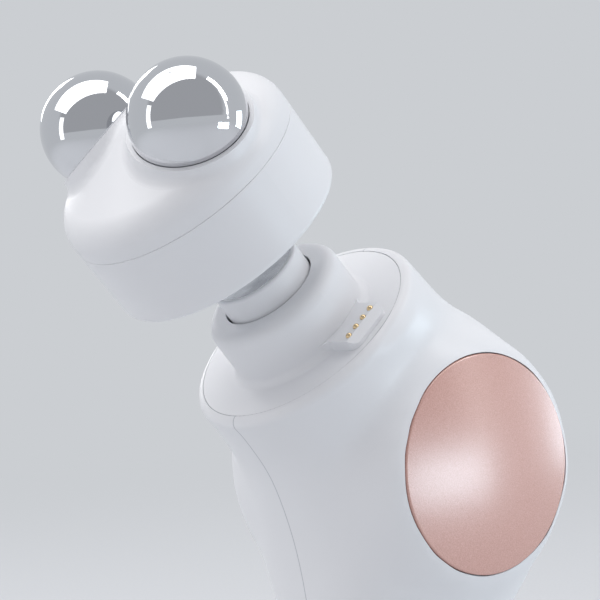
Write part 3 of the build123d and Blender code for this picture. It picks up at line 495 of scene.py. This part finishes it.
frosted, tree, spot, surface = new_material("frosted_polycarbonate")
frost = add_node(tree, "ShaderNodeTexNoise", {"Scale": 1 / frost_grain, "Detail": 3.0},
                 {"Vector": spot})
rough = add_node(tree, "ShaderNodeMapRange", {"To Min": 0.35, "To Max": 0.6},
                 {"Value": frost.outputs["Fac"]})
tone = add_node(tree, "ShaderNodeMix", {"data_type": "RGBA", FIRST: srgb("#D5DBDF"),
                                        SECOND: srgb("#E4E9EC")},
                {"Factor": frost.outputs["Fac"]})
shader = add_node(tree, "ShaderNodeBsdfPrincipled",
                  {"IOR": 1.585, "Transmission Weight": 0.35},
                  {"Base Color": tone.outputs[MIXED], "Roughness": rough.outputs[0]})
tree.links.new(shader.outputs["BSDF"], surface)
dress(frosted, "light_guides")

# --- Motor and drive --------------------------------------------------------------------
# A flat motor in a warm, nickelled can is screwed to a dull die-cast zinc frame. Its crank,
# turned from steel, drives the yoke of a ground shaft through a bronze roller.
tool_mark = 0.001 / 6           # six tool marks to the millimetre
mark_depth = 0.00002
mark_spread = 0.25
bronze_pore = 0.001 / 6         # a real pore is near 0.02 mm, too fine to show
pore_depth = 0.00005


def turned_metal(name, colour, shade, roughness, point, axis):
    """Metal with fine rings round an axis through a point, as a lathe leaves them."""
    material, tree, spot, surface = new_material(name)
    place = add_node(tree, "ShaderNodeVectorMath", {"operation": "SUBTRACT", 1: point},
                     {0: spot})
    along = add_node(tree, "ShaderNodeVectorMath", {"operation": "DOT_PRODUCT", 1: axis},
                     {0: place.outputs[0]})
    across = add_node(tree, "ShaderNodeVectorMath", {"operation": "CROSS_PRODUCT", 1: axis},
                      {0: place.outputs[0]})
    reach = add_node(tree, "ShaderNodeVectorMath", {"operation": "LENGTH"},
                     {0: across.outputs[0]})
    ring = add_node(tree, "ShaderNodeCombineXYZ", {},
                    {"X": along.outputs["Value"], "Y": reach.outputs["Value"]})
    marks = add_node(tree, "ShaderNodeTexNoise", {"Scale": 1 / tool_mark, "Detail": 2.0},
                     {"Vector": ring.outputs[0]})
    tone = add_node(tree, "ShaderNodeMix",
                    {"data_type": "RGBA", FIRST: srgb(shade), SECOND: srgb(colour)},
                    {"Factor": marks.outputs["Fac"]})
    rough = add_node(tree, "ShaderNodeMapRange",
                     {"To Min": roughness * (1 - mark_spread),
                      "To Max": roughness * (1 + mark_spread)},
                     {"Value": marks.outputs["Fac"]})
    relief = add_node(tree, "ShaderNodeBump", {"Strength": 0.15, "Distance": mark_depth},
                      {"Height": marks.outputs["Fac"]})
    shader = add_node(tree, "ShaderNodeBsdfPrincipled", {"Metallic": 1.0},
                      {"Base Color": tone.outputs[MIXED], "Roughness": rough.outputs[0],
                       "Normal": relief.outputs[0]})
    tree.links.new(shader.outputs["BSDF"], surface)
    return material


can_low, can_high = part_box("motor_can")
motor_middle = middle_of(can_low, can_high)
dress(turned_metal("nickelled_motor_can", "#C9C6BF", "#B3B0AA", 0.25, motor_middle,
                   sideways), "motor_can")
dress(turned_metal("turned_steel", "#B5B7BA", "#989A9E", 0.3, motor_middle, sideways),
      "motor_shaft", "crank_disc")
dress(plated_metal("die_cast_zinc", "#A9ABAE", "#8F9195", 0.5, 0.0012), "drive_frame")

bush_low, bush_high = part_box("shaft_bushing")
dress(turned_metal("ground_stainless_steel", "#C2C3C6", "#A8AAAD", 0.22,
                   middle_of(bush_low, bush_high), head_axis), "drive_shaft")

# Sintered bronze is brown with dark pores, which hold its oil.
bronze, tree, spot, surface = new_material("sintered_bronze")
pores = add_node(tree, "ShaderNodeTexVoronoi", {"Scale": 1 / bronze_pore}, {"Vector": spot})
tone = add_node(tree, "ShaderNodeMix", {"data_type": "RGBA", FIRST: srgb("#B08A52"),
                                        SECOND: srgb("#7E6238")},
                {"Factor": pores.outputs["Distance"]})
relief = add_node(tree, "ShaderNodeBump", {"Strength": 0.4, "Distance": pore_depth},
                  {"Height": pores.outputs["Distance"]})
shader = add_node(tree, "ShaderNodeBsdfPrincipled", {"Metallic": 1.0, "Roughness": 0.45},
                  {"Base Color": tone.outputs[MIXED], "Normal": relief.outputs[0]})
tree.links.new(shader.outputs["BSDF"], surface)
dress(bronze, "shaft_bushing", "crank_roller")

# --- Collar face, neck and puck ---------------------------------------------------------
# The face with its neck is one ABS moulding, dropped into the collar with a hairline round
# it, whose shade is painted as a thin grey ring at the face's rim. The puck that taps in
# its well and the cup in the head are moulded from the same white. All three are a little
# duller than the shells.
plate_middle = (0, -0.015, 0.1245)
plate_radius = 0.0257
dull_roughness = 0.45
# The ring of painted shade lies just inside the plate's radius, round the head's axis.
dress(satin_plastic("white_abs_face_plate", device_white, dull_roughness,
                    rim=(plate_middle, head_axis, plate_radius)), "head_plate")
dress(satin_plastic("white_abs_fine_grain", device_white, dull_roughness), "drive_puck",
      "head_cup")

# --- Magnet plates ----------------------------------------------------------------------
# Nickel-plated magnets, in the top of the puck and in the head's roof, hold the head on.
# The plate is satin, with a soft orange-peel that bends what it reflects.
plate_peel = 0.003846
peel_depth = 0.0002

nickel, tree, spot, surface = new_material("satin_nickel_plate")
peel = add_node(tree, "ShaderNodeTexNoise", {"Scale": 1 / plate_peel, "Detail": 1.0},
                {"Vector": spot})
tone = add_node(tree, "ShaderNodeMix", {"data_type": "RGBA", FIRST: srgb("#9FA1A6"),
                                        SECOND: srgb("#B4B6BA")},
                {"Factor": peel.outputs["Fac"]})
relief = add_node(tree, "ShaderNodeBump", {"Strength": 0.4, "Distance": peel_depth},
                  {"Height": peel.outputs["Fac"]})
shader = add_node(tree, "ShaderNodeBsdfPrincipled", {"Metallic": 1.0, "Roughness": 0.24},
                  {"Base Color": tone.outputs[MIXED], "Normal": relief.outputs[0]})
tree.links.new(shader.outputs["BSDF"], surface)
dress(nickel, "puck_magnet", "head_magnet")

# --- Contact pins and pads --------------------------------------------------------------
# Turned brass pins with domed tips on springs, and the flat pads that they meet in the head,
# are hard gold plated: a pale, warm yellow that is bright at the tips.
dress(plated_metal("hard_gold_plate", "#F2DCB8", "#E6C791", 0.24, 0.0006),
      "contact_pins", "contact_pads")

# --- Cheek discs ------------------------------------------------------------------------
# Two spun aluminium lenses with a shallow crown and a rolled edge, bead blasted and anodised
# rose gold, lie on foam rings in round seats of the shells.
disc_sides = 160
disc_rings = 30
disc_crown = 0.0024
rim_round = 0.0004
rim_steps = 4
faces_up = 0.9
smooth_below = radians(40)
disc_low, disc_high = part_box("right_disc")
disc_middle = middle_of(disc_low, disc_high)
disc_radius = (disc_high[1] - disc_low[1]) / 2
disc_wall = disc_high[0] - disc_low[0] - disc_crown - rim_round
crown_radius = disc_radius - rim_round
crown_sphere = (crown_radius ** 2 + disc_crown ** 2) / (2 * disc_crown)


def crown_rise(radius):
    """Height of the crown's surface above its edge, at a radius."""
    return sqrt(crown_sphere ** 2 - radius ** 2) - sqrt(crown_sphere ** 2 - crown_radius ** 2)


bpy.ops.mesh.primitive_cylinder_add(
    vertices=disc_sides, radius=disc_radius, depth=disc_wall, rotation=(0, pi / 2, 0),
    location=(disc_low[0] + disc_wall / 2, disc_middle[1], disc_middle[2]))
right_lens = bpy.context.object
right_lens.name = "right_cheek_disc"
bpy.ops.object.mode_set(mode="EDIT")
bpy.ops.mesh.select_mode(type="FACE")
bpy.ops.mesh.select_all(action="DESELECT")
bpy.ops.object.mode_set(mode="OBJECT")
for face in right_lens.data.polygons:
    face.select = face.normal.z > faces_up
bpy.ops.object.mode_set(mode="EDIT")
for step in range(rim_steps):
    start, end = (radians(90 * place / rim_steps) for place in (step, step + 1))
    bpy.ops.mesh.inset(thickness=rim_round * (cos(start) - cos(end)),
                       depth=rim_round * (sin(end) - sin(start)))
for ring in range(disc_rings, 1, -1):
    outer, inner = (crown_radius * place / disc_rings for place in (ring, ring - 1))
    bpy.ops.mesh.inset(thickness=outer - inner, depth=crown_rise(inner) - crown_rise(outer))
bpy.ops.mesh.merge(type="COLLAPSE")
bpy.ops.object.mode_set(mode="OBJECT")
bpy.ops.object.shade_smooth_by_angle(angle=smooth_below)
bpy.ops.object.transform_apply(location=True, rotation=True, scale=True)

bpy.ops.object.duplicate()
left_lens = bpy.context.object
left_lens.name = "left_cheek_disc"
bpy.ops.transform.rotate(value=pi, orient_axis="Z", center_override=(0, disc_middle[1], 0))
bpy.ops.object.transform_apply(location=True, rotation=True, scale=True)
bpy.ops.object.select_all(action="DESELECT")

# Blasting leaves the metal a broad, pearly shine, and the sealed oxide film a clear one over
# it. The film's high index stands for its strong, cool reflection.
bead_dent = 0.00025             # a real dent is near 0.1 mm, too fine to show
dent_depth = 0.00004
rose_metal, tree, spot, surface = new_material("rose_gold_blasted_aluminium")
beads = add_node(tree, "ShaderNodeTexNoise", {"Scale": 1 / bead_dent, "Detail": 3.0},
                 {"Vector": spot})
beads = add_node(tree, "ShaderNodeMapRange", {"From Min": 0.3, "From Max": 0.7},
                 {"Value": beads.outputs["Fac"]})
tone = add_node(tree, "ShaderNodeMix", {"data_type": "RGBA", FIRST: srgb("#BF8879"),
                                        SECOND: srgb("#D39F92")},
                {"Factor": beads.outputs[0]})
relief = add_node(tree, "ShaderNodeBump", {"Strength": 0.4, "Distance": dent_depth},
                  {"Height": beads.outputs[0]})
shader = add_node(tree, "ShaderNodeBsdfPrincipled",
                  {"Metallic": 0.25, "Roughness": 0.48, "Coat Weight": 1.0,
                   "Coat Roughness": 0.26, "Coat IOR": 2.2},
                  {"Base Color": tone.outputs[MIXED], "Normal": relief.outputs[0]})
tree.links.new(shader.outputs["BSDF"], surface)
for lens, node in ((right_lens, "right_disc"), (left_lens, "left_disc")):
    lens.data.materials.clear()
    lens.data.materials.append(rose_metal)
    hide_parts(node)
    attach(lens, "body")

# The foam is black and closed-celled, dull with fine dark cells.
foam_cell = 0.00025
cell_depth = 0.0001
foam, tree, spot, surface = new_material("black_closed_cell_foam")
cells = add_node(tree, "ShaderNodeTexVoronoi", {"Scale": 1 / foam_cell}, {"Vector": spot})
tone = add_node(tree, "ShaderNodeMix", {"data_type": "RGBA", FIRST: srgb("#161618"),
                                        SECOND: srgb("#2E2F31")},
                {"Factor": cells.outputs["Distance"]})
relief = add_node(tree, "ShaderNodeBump", {"Strength": 0.5, "Distance": cell_depth},
                  {"Height": cells.outputs["Distance"]})
shader = add_node(tree, "ShaderNodeBsdfPrincipled", {"Roughness": 0.9},
                  {"Base Color": tone.outputs[MIXED], "Normal": relief.outputs[0]})
tree.links.new(shader.outputs["BSDF"], surface)
dress(foam, "right_disc_pad", "left_disc_pad")

# --- Buttons ----------------------------------------------------------------------------
# Three ABS caps in the back, each in its own opening and free to sink on its switch. They
# are nearly the shells' white, and polished a little by the thumb.
dress(satin_plastic("white_abs_button", "#E3E4E7", 0.3), "percussion_button", "ring_button",
      "power_button")

# --- Head skirt and dome ----------------------------------------------------------------
# Two ABS mouldings in the shells' white and texture, pushed into each other at a fine
# parting line and held by two screws from below.
dress(white_abs, "head_skirt", "head_dome")

# --- Balls and seals --------------------------------------------------------------------
# Polished chrome-plated steel balls, mirrors with hardly any haze, sit in rings of soft,
# matt silicone.
polish_haze = 0.008333

chrome, tree, spot, surface = new_material("polished_chrome")
haze = add_node(tree, "ShaderNodeTexNoise", {"Scale": 1 / polish_haze, "Detail": 3.0},
                {"Vector": spot})
rough = add_node(tree, "ShaderNodeMapRange", {"To Min": 0.02, "To Max": 0.06},
                 {"Value": haze.outputs["Fac"]})
shader = add_node(tree, "ShaderNodeBsdfPrincipled",
                  {"Metallic": 1.0, "Base Color": srgb("#DCDDE0")},
                  {"Roughness": rough.outputs[0]})
tree.links.new(shader.outputs["BSDF"], surface)
dress(chrome, "right_ball", "left_ball")
dress(matt_silicone("white_silicone", "#DCDEE0", "#CFD1D4"), "ball_seals")
